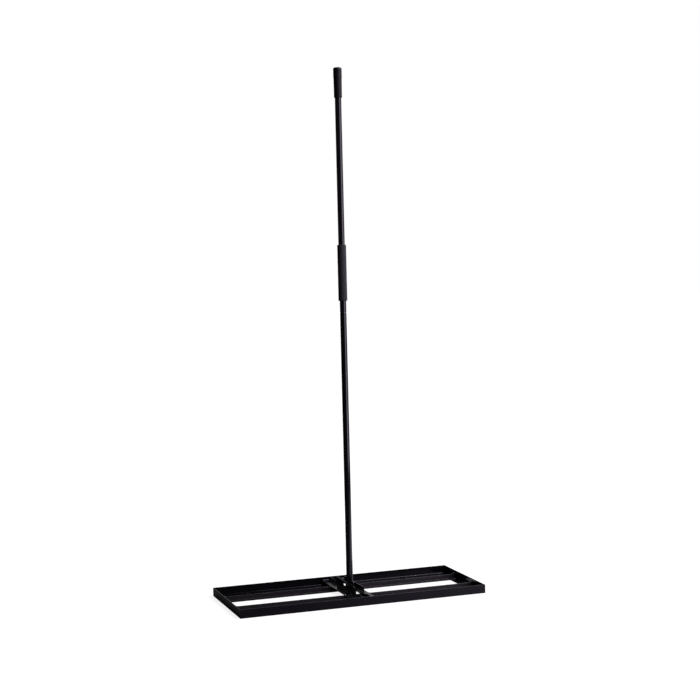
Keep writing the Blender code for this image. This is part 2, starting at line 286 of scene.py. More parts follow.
def rolled_angle_tree() -> GeometryTree:
    """Length of rolled angle along X, its foot to +Y and its leg to +Z, its ends mitred.

    Returns:
        The tree, with inputs for the section, the length and the mitre's slope.
    """
    tree = GeometryTree("rolled_angle")
    names = ("Foot", "Leg", "Wall", "Root", "Toe", "Tip", "Heel", "Length", "Mitre")
    foot, leg, wall, root, toe, tip, heel, length, mitre = map(tree.number, names)
    corners = tree.node("GeometryNodeMeshCircle", {"Vertices": 6}, fill_type="NONE")
    index = tree.node("GeometryNodeInputIndex")
    across = tree.choice(index, [0.0, foot, foot, wall, wall, 0.0])
    up = tree.choice(index, [0.0, 0.0, wall, wall, leg, leg])
    radii = tree.choice(index, [heel, heel, toe, root, tip, heel])
    place = tree.node("ShaderNodeCombineXYZ", {"X": across, "Y": up})
    marks = {"Geometry": corners, "Name": "corner", "Value": radii}
    marked = tree.node("GeometryNodeStoreNamedAttribute", marks)
    section = tree.node("GeometryNodeSetPosition", {"Geometry": marked, "Position": place})
    line = tree.node("GeometryNodeMeshToCurve", {"Mesh": section})
    corner = tree.node("GeometryNodeInputNamedAttribute", {"Name": "corner"})
    rounding = {"Curve": line, "Radius": corner, "Count": 5}
    fillet = tree.node("GeometryNodeFilletCurve", rounding, mode="POLY")
    face = tree.node("GeometryNodeFillCurve", {"Curve": fillet}, mode="NGONS")
    reach = tree.node("ShaderNodeCombineXYZ", {"Z": length})
    push = {"Mesh": face, "Offset": reach, "Individual": False}
    grown = tree.node("GeometryNodeExtrudeMesh", push)
    base = tree.node("GeometryNodeFlipFaces", {0: face})
    whole = tree.node("GeometryNodeJoinGeometry")
    for part in (grown, base):
        tree.fill(whole.inputs[0], part)
    whole = tree.node("GeometryNodeMergeByDistance", {0: whole, "Distance": MERGE_DISTANCE})
    here = tree.node("ShaderNodeSeparateXYZ", {0: tree.node("GeometryNodeInputPosition")}).outputs
    along = tree.maths("SUBTRACT", here["Z"], tree.maths("MULTIPLY", length, 0.5))
    slope = tree.maths("MULTIPLY", mitre, here["X"])
    slope = tree.maths("MULTIPLY", tree.maths("SIGN", along), slope)
    lie = {"X": tree.maths("SUBTRACT", along, slope), "Y": here["X"], "Z": here["Y"]}
    lying = tree.node("ShaderNodeCombineXYZ", lie)
    tree.finish(tree.node("GeometryNodeSetPosition", {"Geometry": whole, "Position": lying}))
    return tree


def weld_bead_tree() -> GeometryTree:
    """Weld bead along the object's edges, with the ripples of a hand laid weld.

    Returns:
        The tree, with inputs for the bead's radius, the ripples' pitch and depth, and the seed.
    """
    steps_a_ripple, lean, blunt, jitter_ends = 5.0, 0.6, 0.0001, (0.90, 1.10)
    tree = GeometryTree("weld_bead")
    radius, pitch, ripple = map(tree.number, ("Radius", "Pitch", "Ripple"))
    seed = tree.number("Seed", "NodeSocketInt")
    line = tree.node("GeometryNodeMeshToCurve", {"Mesh": tree.start})
    steps = {"Curve": line, "Length": tree.maths("DIVIDE", pitch, steps_a_ripple)}
    fine = tree.node("GeometryNodeResampleCurve", steps, mode="LENGTH")
    along = tree.node("GeometryNodeSplineParameter").outputs["Length"]
    total = tree.node("GeometryNodeSplineLength").outputs["Length"]
    wave = tree.maths("FRACT", tree.maths("DIVIDE", along, pitch))
    hump = tree.maths("SINE", tree.maths("MULTIPLY", tree.maths("POWER", wave, lean), math.pi))
    rippled = tree.maths("ADD", 1.0, tree.maths("MULTIPLY", ripple, hump))
    near = tree.maths("MINIMUM", along, tree.maths("SUBTRACT", total, along))
    share = tree.maths("DIVIDE", tree.maths("ADD", near, blunt), radius)
    back = tree.maths("SUBTRACT", 1.0, tree.maths("MINIMUM", 1.0, share))
    rounded = tree.maths("SUBTRACT", 1.0, tree.maths("MULTIPLY", back, back))
    chances = {2: jitter_ends[0], 3: jitter_ends[1], "Seed": seed}
    jitter = tree.node("FunctionNodeRandomValue", chances, data_type="FLOAT").outputs[1]
    uneven = tree.maths("MULTIPLY", tree.maths("SQRT", rounded), jitter)
    scale = tree.maths("MULTIPLY", tree.maths("MULTIPLY", radius, rippled), uneven)
    ring = tree.node("GeometryNodeCurvePrimitiveCircle", {"Resolution": 10, "Radius": 1.0})
    sweep = {"Curve": fine, "Profile Curve": ring, "Scale": scale, "Fill Caps": True}
    swept = tree.node("GeometryNodeCurveToMesh", sweep)
    tree.finish(tree.node("GeometryNodeSetShadeSmooth", {0: swept}))
    return tree


def thread_tree() -> GeometryTree:
    """Screw thread: a vee ridge wound round Z.

    Returns:
        The tree, with inputs for the thread's radius, pitch, reach and depth.
    """
    tree = GeometryTree("screw_thread")
    radius, pitch, reach, depth = map(tree.number, ("Radius", "Pitch", "Reach", "Depth"))
    turns = tree.maths("DIVIDE", reach, pitch)
    winding = {
        "Resolution": 40, "Rotations": turns, "Start Radius": radius, "End Radius": radius,
        "Height": reach,
    }
    coil = tree.node("GeometryNodeCurveSpiral", winding)
    ridge = tree.node("GeometryNodeCurvePrimitiveCircle", {"Resolution": 4, "Radius": depth})
    sweep = {"Curve": coil, "Profile Curve": ridge, "Fill Caps": True}
    tree.finish(tree.node("GeometryNodeCurveToMesh", sweep))
    return tree


# Finishes.


@dataclass(frozen=True)
class Finish:
    """What all finishes share. A noise is given as cells per metre and octaves of finer noise."""

    name: str
    dark: Colour
    light: Colour
    roughness: Span
    specular: float = 0.5
    tint: Colour = (1.0, 1.0, 1.0)
    metallic: float = 0.0

    def patterns(self, shader: Shader) -> tuple[Socket, list[Bump]]:
        """Makes the pattern of the colour and the bumps, the coarsest first."""
        raise NotImplementedError

    def build(self) -> Material:
        """Makes the finish.

        Returns:
            The material.
        """
        shader = Shader(self.name)
        clouds, bumps = self.patterns(shader)
        shader.shade(clouds, self.dark, self.light, self.roughness)
        shader.surface["Specular IOR Level"].default_value = self.specular
        shader.surface["Specular Tint"].default_value = (*self.tint, 1.0)
        shader.surface["Metallic"].default_value = self.metallic
        shader.relief(*bumps)
        return shader.material


@dataclass(frozen=True)
class PowderCoat(Finish):
    """Baked black powder paint with a faint orange peel and fine specks."""

    dark: Colour = (0.0030, 0.0026, 0.0037)
    light: Colour = (0.0040, 0.0034, 0.0049)
    roughness: Span = (0.13, 0.18)
    specular: float = 0.045
    tint: Colour = VIOLET
    peel: float = 0.05
    clouds: Span = (22.0, 4.0)
    peel_grain: Span = (420.0, 1.0)
    peel_height: float = 0.00006
    speck_grain: Span = (2600.0, 2.0)
    speck_height: float = 0.00001

    def patterns(self, shader: Shader) -> tuple[Socket, list[Bump]]:
        """Clouds, the orange peel and the specks."""
        peel, specks = shader.noise(*self.peel_grain), shader.noise(*self.speck_grain)
        return shader.noise(*self.clouds), [
            (peel, self.peel, self.peel_height), (specks, self.peel / 2, self.speck_height)
        ]


@dataclass(frozen=True)
class ZincPlate(Finish):
    """Zinc on steel, with faint passivation clouds."""

    metallic: float = 1.0
    clouds: Span = (260.0, 4.0)
    grain: Span = (1500.0, 2.0)
    pits: Span = (0.10, 0.00005)

    def patterns(self, shader: Shader) -> tuple[Socket, list[Bump]]:
        """Clouds and a fine grain."""
        return shader.noise(*self.clouds), [(shader.noise(*self.grain), *self.pits)]


@dataclass(frozen=True)
class ClosedCellFoam(Finish):
    """Matt foam sleeve with open pores on its ground surface."""

    dark: Colour = (0.0090, 0.0076, 0.0103)
    light: Colour = (0.0155, 0.0134, 0.0177)
    roughness: Span = (0.86, 0.98)
    specular: float = 0.05
    mottle: Span = (180.0, 4.0)
    dents: Span = (0.25, 0.0004)
    pore_cells: float = 1100.0
    pores: Span = (0.55, 0.0003)

    def patterns(self, shader: Shader) -> tuple[Socket, list[Bump]]:
        """Mottle, the dents that go with it and the pores."""
        mottle = shader.noise(*self.mottle)
        return mottle, [(mottle, *self.dents), (shader.cells(self.pore_cells), *self.pores)]


@dataclass(frozen=True)
class MouldedRubber(Finish):
    """Satin black rubber with a fine moulded stipple."""

    dark: Colour = (0.0010, 0.0008, 0.0012)
    light: Colour = (0.0020, 0.0017, 0.0023)
    roughness: Span = (0.46, 0.58)
    specular: float = 0.08
    tint: Colour = VIOLET
    clouds: Span = (60.0, 4.0)
    stipple_cells: float = 1600.0
    stipple: Span = (0.18, 0.0001)

    def patterns(self, shader: Shader) -> tuple[Socket, list[Bump]]:
        """Clouds and the stipple."""
        stipple = shader.cells(self.stipple_cells)
        return shader.noise(*self.clouds), [(stipple, *self.stipple)]


def made(finish: Finish) -> Material:
    """Field whose material is made together with the others."""
    return field(default_factory=finish.build)


@dataclass
class Finishes:
    """Every finish of the rake, each made once. Some are darker or lighter copies of one coat or
    plating, which paint shade or light on the pieces that they dress.
    """

    frame: Material = made(PowderCoat("frame_coat"))
    # Darker copy of the frame's coat: painted shade on the rear and right angles.
    rear: Material = made(
        PowderCoat("painted_shade_frame_coat", (0.0008, 0.0007, 0.0010), (0.0014, 0.0012, 0.0018))
    )
    # Lighter copies of the frame's coat: painted light on the front and rear leveling bars.
    front_bar_painted_light: Material = made(PowderCoat(
        "front_bar_painted_light_coat", (0.0062, 0.0051, 0.0064), (0.0081, 0.0067, 0.0084), (0.22, 0.30), 0.11
    ))
    rear_bar_painted_light: Material = made(PowderCoat(
        "rear_bar_painted_light_coat", (0.0052, 0.0043, 0.0054), (0.0070, 0.0057, 0.0073), (0.24, 0.32), 0.08
    ))
    # Darker copy of the frame's coat: painted shade on the bracket angles.
    bracket: Material = made(PowderCoat(
        "bracket_painted_light_coat", (0.0016, 0.0014, 0.0020), (0.0026, 0.0022, 0.0032), (0.18, 0.25), 0.055
    ))
    # Much lighter copy of the coat: painted highlight on the beads where the flanges butt against
    # the frame.
    bracket_weld_highlight: Material = made(PowderCoat(
        "bracket_weld_highlight_coat", (0.014, 0.012, 0.016), (0.026, 0.022, 0.030), (0.22, 0.32), 0.5
    ))
    frame_weld: Material = made(PowderCoat(
        "frame_weld_coat", (0.003, 0.0025, 0.0036), (0.006, 0.005, 0.0072), (0.26, 0.36), 0.2
    ))
    tube: Material = made(PowderCoat(
        "tube_coat", (0.0008, 0.0007, 0.0010), (0.0014, 0.0012, 0.0018), (0.09, 0.13), 0.26,
        peel=0.03,
    ))
    bolt: Material = made(
        ZincPlate("bolt_zinc", (0.84, 0.84, 0.85), (0.97, 0.97, 0.97), (0.30, 0.40))
    )
    # Darkened zinc: painted shade on the washers, spacers and sleeve round the pivot.
    ring: Material = made(
        ZincPlate("painted_shade_ring_zinc", (0.10, 0.10, 0.11), (0.18, 0.18, 0.19), (0.34, 0.46))
    )
    # Near black zinc: painted shade in the grooves of the pole's screwed joints.
    joint: Material = made(
        ZincPlate("painted_shade_joint_zinc", (0.020, 0.020, 0.022), (0.040, 0.040, 0.043), (0.40, 0.52))
    )
    foam: Material = made(ClosedCellFoam("grip_foam"))
    rubber: Material = made(MouldedRubber("grip_rubber"))


# Mesh helpers.


def baked(piece: Piece) -> Piece:
    """Turns an object with modifiers into a plain mesh.

    Args:
        piece: The object.

    Returns:
        The same object, its mesh evaluated and its modifiers gone.
    """
    view = bpy.context.evaluated_depsgraph_get()
    mesh = bpy.data.meshes.new_from_object(
        piece.evaluated_get(view), preserve_all_data_layers=True, depsgraph=view
    )
    piece.modifiers.clear()
    piece.data = mesh
    return piece


def changed(piece: Piece, kind: str, **settings: object) -> Piece:
    """Runs a modifier on a piece and keeps the result as its mesh.

    Args:
        piece: The piece.
        kind: The modifier's type.
        settings: The modifier's properties.

    Returns:
        The same piece.
    """
    modifier = piece.modifiers.new(kind, kind)
    for key, value in settings.items():
        setattr(modifier, key, value)
    return baked(piece)


def shown(name: str, data: bpy.types.ID | None = None) -> Piece:
    """Makes an object and puts it in the scene.

    Args:
        name: The object's name.
        data: Its mesh, lamp or camera, or else it gets an empty mesh.

    Returns:
        The object.
    """
    piece = bpy.data.objects.new(name, data or bpy.data.meshes.new(name))
    bpy.context.collection.objects.link(piece)
    return piece


def kept(bm: bmesh.types.BMesh, piece: Piece) -> Piece:
    """Writes a bmesh to a piece.

    Args:
        bm: The mesh that was built, which is freed.
        piece: The piece.

    Returns:
        The piece.
    """
    bm.to_mesh(piece.data)
    bm.free()
    return piece


def smoothed(piece: Piece, sharp: float = SHARP_ANGLE) -> Piece:
    """Shades a piece smooth up to an angle.

    Args:
        piece: The piece.
        sharp: Angle in degrees past which an edge stays sharp.

    Returns:
        The piece.
    """
    piece.data.shade_smooth()
    piece.data.set_sharp_from_angle(angle=math.radians(sharp))
    return piece


def closed(bm: bmesh.types.BMesh, name: str, sharp: float = SHARP_ANGLE) -> Piece:
    """Finishes a bmesh as an object with outward faces and smooth round ones.

    Args:
        bm: The mesh being built.
        name: The object's name.
        sharp: Angle in degrees past which an edge stays sharp.

    Returns:
        The new object.
    """
    bmesh.ops.remove_doubles(bm, verts=bm.verts, dist=MERGE_DISTANCE)
    bmesh.ops.recalc_face_normals(bm, faces=bm.faces)
    return smoothed(kept(bm, shown(name)), sharp)


def placed(piece: Piece, matrix: Matrix) -> Piece:
    """Moves a piece by its mesh, so that its object stays at the origin."""
    piece.data.transform(matrix)
    return piece


def moved(place: Point, turn: float) -> Matrix:
    """Matrix of a turn about Z in degrees and then a shift."""
    return Matrix.Translation(place) @ Matrix.Rotation(math.radians(turn), 4, "Z")


def along_x(place: Point) -> Matrix:
    """Matrix that lays a piece made about Z along X, at a place."""
    return Matrix.Translation(place) @ Matrix.Rotation(math.radians(90), 4, "Y")


def arc(centre: Span, radius: float, start: float, end: float, steps: int) -> Outline:
    """Points of an arc.

    Args:
        centre: Middle of the arc.
        radius: Its radius.
        start: First angle in degrees.
        end: Last angle in degrees.
        steps: Straight pieces.

    Returns:
        The points in order.
    """
    turns = [math.radians(start + (end - start) * step / steps) for step in range(steps + 1)]
    return [(centre[0] + radius * math.cos(a), centre[1] + radius * math.sin(a)) for a in turns]


def tube_outline(inner: float, outer: float, foot: float, top: float, edge: float) -> Outline:
    """Section of a tube whose outer edges are rounded.

    Args:
        inner: Bore radius.
        outer: Outer radius.
        foot: Lower end.
        top: Upper end.
        edge: Radius of the rounded edges.

    Returns:
        The closed outline.
    """
    lower = arc((outer - edge, foot + edge), edge, 270, 360, 4)
    upper = arc((outer - edge, top - edge), edge, 0, 90, 4)
    return [(inner, foot), *lower, *upper, (inner, top)]


def turned(
    name: str, outline: Outline, hollow: bool, sides: int = LARGE_ROUND, sharp: float = SHARP_ANGLE
) -> Piece:
    """Revolves an outline of radius and height about Z.

    Args:
        name: The object's name.
        outline: Points of radius and height.
        hollow: Whether the outline closes on itself, or else ends on the axis.
        sides: Steps round.
        sharp: Angle in degrees past which an edge stays sharp.

    Returns:
        The turned piece.
    """
    bm = bmesh.new()
    verts = [bm.verts.new((radius, 0.0, height)) for radius, height in outline]
    edges = [bm.edges.new(pair) for pair in zip(verts, verts[1:])]
    if hollow:
        edges.append(bm.edges.new((verts[-1], verts[0])))
    bmesh.ops.spin(
        bm, geom=verts + edges, axis=(0, 0, 1), cent=(0, 0, 0), angle=2 * math.pi, steps=sides,
        use_merge=True,
    )
    return closed(bm, name, sharp)


def swept(name: str, outline: list[Point], reach: Point) -> Piece:
    """Solid swept straight from a flat outline.

    Args:
        name: The object's name.
        outline: Corners of its first face.
        reach: How far and which way it is swept.

    Returns:
        The solid.
    """
    bm = bmesh.new()
    face = bm.faces.new([bm.verts.new(corner) for corner in outline])
    grown = bmesh.ops.extrude_face_region(bm, geom=[face], use_keep_orig=True)
    ends = [item for item in grown["geom"] if isinstance(item, bmesh.types.BMVert)]
    bmesh.ops.translate(bm, verts=ends, vec=reach)
    return closed(bm, name)


def block(ends: Span, low: float, high: float) -> Piece:
    """Plain cutter between two places along X and two heights, past the head in Y."""
    corners = [(end, -BEYOND, z) for end, z in zip((*ends, *ends[::-1]), (low, low, high, high))]
    return swept("cutter", corners, (0, 2 * BEYOND, 0))


def prism(name: str, sides: int, flats: float, low: float, high: float) -> Piece:
    """Regular prism about Z between two heights, by its sides and the distance of its flats."""
    ring = arc((0, 0), flats / 2 / math.cos(math.pi / sides), 90, 450, sides)[:-1]
    return swept(name, [(x, y, low) for x, y in ring], (0, 0, high - low))


def cut(piece: Piece, *tools: Piece, operation: str = "DIFFERENCE") -> Piece:
    """Cuts, joins or trims a piece by other solids, which are then removed.

    Args:
        piece: The piece to change.
        tools: The other solids.
        operation: The Boolean operation.

    Returns:
        The piece with a plain mesh.
    """
    for tool in tools:
        changed(piece, "BOOLEAN", object=tool, operation=operation, solver="EXACT")
        bpy.data.objects.remove(tool, do_unlink=True)
    return piece


def eased(piece: Piece, width: float, angle: float = SOFT_ANGLE) -> Piece:
    """Rounds the sharp edges of a piece.

    Args:
        piece: The piece.
        width: Width of the rounding.
        angle: Angle in degrees past which an edge is rounded.

    Returns:
        The piece with a plain mesh.
    """
    limit = math.radians(angle)
    changed(
        piece, "BEVEL", width=width, segments=2, limit_method="ANGLE", angle_limit=limit,
        miter_outer="MITER_ARC",
    )
    return smoothed(piece, angle)


def dressed(piece: Piece, finish: Material, body: Body, slot: Slot, *nodes: str) -> Piece:
    """Gives a finished piece its material and body, and hides the CAD nodes that it stands for.

    Args:
        piece: The piece, in place.
        finish: Its material.
        body: The body that it rides on.
        slot: The record's slot of its finish; not used.
        nodes: CAD nodes that it replaces.

    Returns:
        The same piece, its round normals leaning to the large faces, so that flats mirror straight.
    """
    changed(piece, "WEIGHTED_NORMAL", keep_sharp=True)
    piece.data.materials.clear()
    piece.data.materials.append(finish)
    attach(piece, body.value)
    if nodes:
        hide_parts(*nodes)
    LOG.info("%s: %d faces on %s", piece.name, len(piece.data.polygons), body.value)
    return piece


# Head.


@dataclass
class AngleStock:
    """Section of a rolled angle, with the radii of its root, toe, tip and heel."""

    tree: GeometryTree
    foot: float
    leg: float
    wall: float
    radii: Corners

    def cut_length(self, name: str, length: float, mitre: float, finish: Material) -> Piece:
        """Makes one length along X.

        Args:
            name: The piece's name.
            length: Its length at the heel.
            mitre: Slope of its ends, 1 for 45 degrees.
            finish: Its material.

        Returns:
            The length of angle, its heel on the X axis.
        """
        sizes = dict(zip(("Root", "Toe", "Tip", "Heel"), self.radii), Length=length, Mitre=mitre)
        piece = self.tree.grow(
            shown(name), finish, Foot=self.foot, Leg=self.leg, Wall=self.wall, **sizes
        )
        bm = bmesh.new()
        bm.from_mesh(piece.data)
        bmesh.ops.recalc_face_normals(bm, faces=bm.faces)
        return smoothed(kept(bm, piece))


@dataclass
class Head:
    """Welded head: the rectangle of angles, the two leveling bars and the bracket."""

    finishes: Finishes
    length: float = 1.000
    depth: float = 0.412
    frame_leg: float = 0.034
    frame_radii: Corners = (0.003, 0.0004, 0.0004, 0.0011)
    bar_foot: float = 0.024
    bar_leg: float = 0.020
    bar_radii: Corners = (0.0008, 0.0003, 0.0012, 0.0004)
    bar_pitch: float = 0.175
    bracket_leg: float = 0.035
    bracket_radii: Corners = (0.003, 0.0012, 0.0012, 0.0004)
    bracket_edge: float = 0.0004
    wall: float = 0.003
    bracket_middle: float = 0.006
    half_gap: float = 0.0151
    seat: float = 0.017
    ear_front: float = 0.119
    ear_rear: float = 0.110
    relief: float = 0.0075
    relief_flat: float = 0.010
    ramp_front: float = 0.039
    ramp_rear: float = 0.027
    pivot_height: float = 0.0395
    bolt_hole: float = 0.0043
    seam: float = 0.0003
    past: float = 0.1
    clear: float = 0.01

    def flange(self, side: int, out: float) -> float:
        """X of a place on a bracket angle, by its distance out from the heel."""
        return self.bracket_middle + side * (self.half_gap + out)

    def build(self) -> None:
        """Builds and dresses every piece of the head."""
        tree, wall, leg, flange = rolled_angle_tree(), self.wall, self.frame_leg, self.bracket_leg
        self.build_frame(AngleStock(tree, leg, leg, wall, self.frame_radii))
        self.build_bars(AngleStock(tree, self.bar_foot, self.bar_leg, wall, self.bar_radii))
        self.build_bracket(AngleStock(tree, flange, flange, wall, self.bracket_radii))

    def build_frame(self, stock: AngleStock) -> None:
        """Four mitred angles round the head.

        Args:
            stock: The rolled angle that they are cut from.
        """
        # The rear and right angles take the darker copy of the coat, which paints shade on them.
        coat, painted_shade_frame_coat = self.finishes.frame, self.finishes.rear
        sides = {
            "front": (self.length, (0, -self.depth / 2, 0), 0, coat),
            "rear": (self.length, (0, self.depth / 2, 0), 180, painted_shade_frame_coat),
            "left": (self.depth, (-self.length / 2, 0, 0), -90, coat),
            "right": (self.depth, (self.length / 2, 0, 0), 90, painted_shade_frame_coat),
        }
        for side, (length, place, turn, finish) in sides.items():
            node = f"{side}_frame_angle"
            piece = stock.cut_length(f"{node}_steel", length, 1.0, finish)
            placed(piece, moved(place, turn))
            dressed(piece, finish, Body.HEAD, Slot.HEAD_COAT, node)

    def build_bars(self, stock: AngleStock) -> None:
        """The leveling bars, coped over the side angles' feet.

        Args:
            stock: The rolled angle that they are cut from.
        """
        inner = self.length / 2 - self.frame_leg - self.seam
        length = self.length - 2 * self.wall - 2 * self.seam
        # Each bar takes a lighter copy of the coat, which paints light on its faces.
        coats = {"front": (-1, self.finishes.front_bar_painted_light), "rear": (1, self.finishes.rear_bar_painted_light)}
        for name, (side, finish) in coats.items():
            node = f"{name}_leveling_bar"
            piece = stock.cut_length(f"{node}_steel", length, 0.0, finish)
            placed(piece, moved((0, side * self.bar_pitch / 2 + self.wall, 0), 180))
            tools = []
            for end in (-1, 1):
                outside = (end * inner, end * self.length)
                tools.append(block(outside, -BEYOND, self.wall + self.seam))
                near, far = -self.seam, self.bracket_leg + self.seam
                across = (self.flange(end, near), self.flange(end, far))
                tools.append(block(across, self.seat - self.seam, BEYOND))
            smoothed(cut(piece, *tools))
            dressed(piece, finish, Body.HEAD, Slot.HEAD_COAT, node)

    def ear_cutter(self, side: int) -> Piece:
        """Trims a leg beyond its ear: a relief beside it, a ramp, then level with the frame.

        Args:
            side: -1 for the front, 1 for the rear.

        Returns:
            The cutter.
        """
        ear = self.ear_front if side < 0 else self.ear_rear
        ramp = self.ramp_front if side < 0 else self.ramp_rear
        low = self.seat + self.wall + self.relief
        high = self.seat + self.bracket_leg + self.clear
        far, level = self.depth / 2, self.frame_leg
        trimmed = [(ear, low), (ear + self.relief_flat, low), (ear + ramp, level), (far, level)]
        outline = [*trimmed, (far, high), (ear, high)]
        corners = [(-self.past, side * depth, height) for depth, height in outline]
        return swept("cutter", corners, (2 * self.past, 0, 0))

    def build_bracket(self, stock: AngleStock) -> None:
        """The two bracket angles, whose legs are trimmed down to the ears of the pivot.

        Args:
            stock: The rolled angle that they are cut from.
        """
        length = self.depth - 2 * self.wall - 2 * self.seam
        # The bracket takes the darker copy of the coat, which paints shade on it.
        finish = self.finishes.bracket
        for name, side in (("left", -1), ("right", 1)):
            node = f"{name}_bracket_angle"
            piece = stock.cut_length(f"{node}_steel", length, 0.0, finish)
            placed(piece, moved((self.flange(side, 0.0), 0, self.seat), -90 * side))
            drill = prism("cutter", HOLE_ROUND, 2 * self.bolt_hole, -self.past, self.past)
            placed(drill, along_x((self.bracket_middle, 0, self.pivot_height)))
            cut(piece, self.ear_cutter(-1), self.ear_cutter(1), drill)
            eased(piece, self.bracket_edge)
            dressed(piece, finish, Body.HEAD, Slot.HEAD_COAT, node)


@dataclass
class Welds:
    """Hand laid weld beads of the head. A bar bead's points are insets and rises."""

    finishes: Finishes
    head: Head
    radius: float = 0.0018
    end_radius: float = 0.0026
    pitch: float = 0.0022
    ripple: float = 0.22
    corner_inset: float = 0.0004
    corner_rise: Span = (0.0055, 0.0315)
    mitre_height: float = 0.0028
    mitre_start: float = 0.003
    mitre_past: float = 0.002
    behind: float = 0.0006
    toe_gap: float = 0.0002
    back_bead: Path = ((0.0006, -0.0140), (0.0006, -0.0010), (0.0010, 0.0012))
    top_bead: Path = ((0.0200, -0.0008), (0.0070, 0.0006), (0.0004, 0.0050))
    toe_bead: Path = ((0.0300, 0.0006), (0.0050, 0.0010))
    end_gap: float = 0.0009
    end_rise: float = 0.0006
    end_short: float = 0.003
    side_gap: float = 0.0002
    side_drop: float = 0.0006
    side_reach: float = 0.004
    cross_rise: float = 0.0003
    cross_out: float = 0.012
    cross_reach: float = 0.006

    def build(self) -> None:
        """Lays every group of beads."""
        tree = weld_bead_tree()
        # The bracket's end beads take the much lighter copy of the coat, a painted highlight.
        coat, bracket_painted_light_coat = self.finishes.frame_weld, self.finishes.bracket_weld_highlight
        groups = {
            "frame_corner_welds": (self.corner_lines(), self.radius, coat),
            "bar_end_welds": (self.bar_lines(), self.radius, coat),
            "bracket_end_welds": (self.bracket_end_lines(), self.end_radius, bracket_painted_light_coat),
            "bracket_bar_welds": (self.bracket_bar_lines(), self.radius, coat),
        }
        for seed, (name, (lines, radius, finish)) in enumerate(groups.items()):
            bm = bmesh.new()
            for line in lines:
                verts = [bm.verts.new(point) for point in line]
                for pair in zip(verts, verts[1:]):
                    bm.edges.new(pair)
            bead = kept(bm, shown(name))
            tree.grow(
                bead, finish, Radius=radius, Pitch=self.pitch, Ripple=self.ripple, Seed=seed
            )
            dressed(bead, finish, Body.HEAD, Slot.HEAD_COAT)

    def corner_lines(self) -> Lines:
        """Beads up the inside of the frame's corners and out along the mitre of the feet.

        Returns:
            The beads' lines.
        """
        head, lines = self.head, []
        x_half, y_half = head.length / 2, head.depth / 2
        near, out = head.wall + self.corner_inset, head.frame_leg - self.mitre_past
        start = head.wall + self.mitre_start
        for sx in (-1, 1):
            for sy in (-1, 1):
                corner, inner, toe = (
                    (sx * (x_half - inset), sy * (y_half - inset)) for inset in (near, start, out)
                )
                lines.append([(*corner, height) for height in self.corner_rise])
                lines.append([(*inner, self.mitre_height), (*toe, self.mitre_height)])
        return lines

    def bar_lines(self) -> Lines:
        """Beads up the back of the leveling bars' ends, over their tops and along their toes.

        Returns:
            The beads' lines.
        """
        head, lines = self.head, []
        end, leg = head.length / 2 - head.wall, head.bar_leg
        for side in (-1, 1):
            front = side * head.bar_pitch / 2
            back, middle = front + head.wall, front + head.wall / 2
            behind, toe = back + self.behind, back - head.bar_foot - self.toe_gap
            beads = (
                (self.back_bead, (behind, behind, middle), leg),
                (self.top_bead, (middle, middle, middle), leg),
                (self.toe_bead, (toe, toe), head.wall),
            )
            for sx in (-1, 1):
                for path, depths, base in beads:
                    lines.append([
                        (sx * (end - inset), y, base + rise)
                        for (inset, rise), y in zip(path, depths)
                    ])
        return lines

    def bracket_end_lines(self) -> Lines:
        """Beads where the bracket's flanges butt against the frame.

        Returns:
            The beads' lines.
        """
        head, lines = self.head, []
        wall_y = head.depth / 2 - head.wall - self.end_gap
        height = head.seat + head.wall + self.end_rise
        for side in (-1, 1):
            near = head.flange(side, self.end_short)
            far = head.flange(side, head.bracket_leg - self.end_short)
            lines += [[(near, y, height), (far, y, height)] for y in (-wall_y, wall_y)]
        return lines

    def bracket_bar_lines(self) -> Lines:
        """Beads where the bracket's flanges cross the leveling bars.

        Returns:
            The beads' lines.
        """
        head, lines = self.head, []
        top, reach, half = head.seat + head.wall, self.side_reach, self.cross_reach
        low, high = top - self.side_drop, top + self.cross_rise
        for side in (-1, 1):
            edge = head.flange(side, head.bracket_leg + self.side_gap)
            middle = head.flange(side, self.cross_out)
            for bar in (-1, 1):
                y = bar * head.bar_pitch / 2 + head.wall / 2
                lines.append([(edge, y - reach, low), (edge, y + reach, low)])
                lines.append([(middle - half, y, high), (middle + half, y, high)])
        return lines


# Pivot.


def threaded(piece: Piece, finish: Material, foot: float, **sizes: float) -> Piece:
    """Winds a screw thread round a piece about Z.

    Args:
        piece: The piece.
        finish: Its material.
        foot: Where the thread starts.
        sizes: Radius, Pitch, Reach and Depth of the thread.

    Returns:
        The piece with the thread in its mesh.
    """
    coil = thread_tree().grow(shown("thread"), finish, **sizes)
    placed(coil, Matrix.Translation((0, 0, foot)))
    bm = bmesh.new()
    for part in (piece, coil):
        bm.from_mesh(part.data)
    bpy.data.objects.remove(coil, do_unlink=True)
    return kept(bm, piece)


